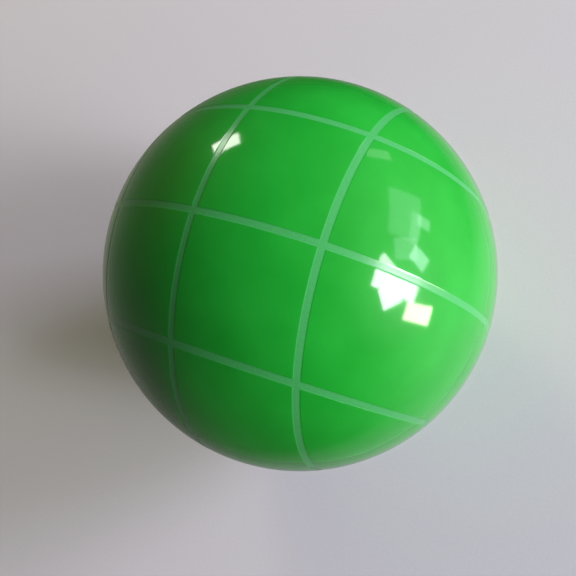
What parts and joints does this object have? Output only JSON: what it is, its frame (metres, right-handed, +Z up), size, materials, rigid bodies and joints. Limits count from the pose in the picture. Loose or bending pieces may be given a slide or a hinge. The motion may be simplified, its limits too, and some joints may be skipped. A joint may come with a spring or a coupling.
{
  "type": "bocce ball",
  "caption": "Polished green cast-resin lawn game ball, scored all round with two crossed sets of pale parallel circles.",
  "frame": {"origin": "centre of the ball", "axes": "+X along the axis of one set of scored circles, +Y along the axis of the other set, +Z up through the side where the middle circles of both sets cross"},
  "size_m": [0.107, 0.107, 0.107],
  "materials": {
    "core_resin": "as cast, off-white resin filled with chalk, sealed inside the cover",
    "cover_resin": "solid green cast resin, turned true and polished to a high gloss",
    "line_filler": "pale green, half-matte, lying just below the polished surface"
  },
  "bodies": {
    "root": {"core": "core_resin", "cover": "cover_resin", "line_y_front": "line_filler", "line_y_middle": "line_filler", "line_y_back": "line_filler", "line_x_left": "line_filler", "line_x_middle": "line_filler", "line_x_right": "line_filler"}
  },
  "joints": []
}
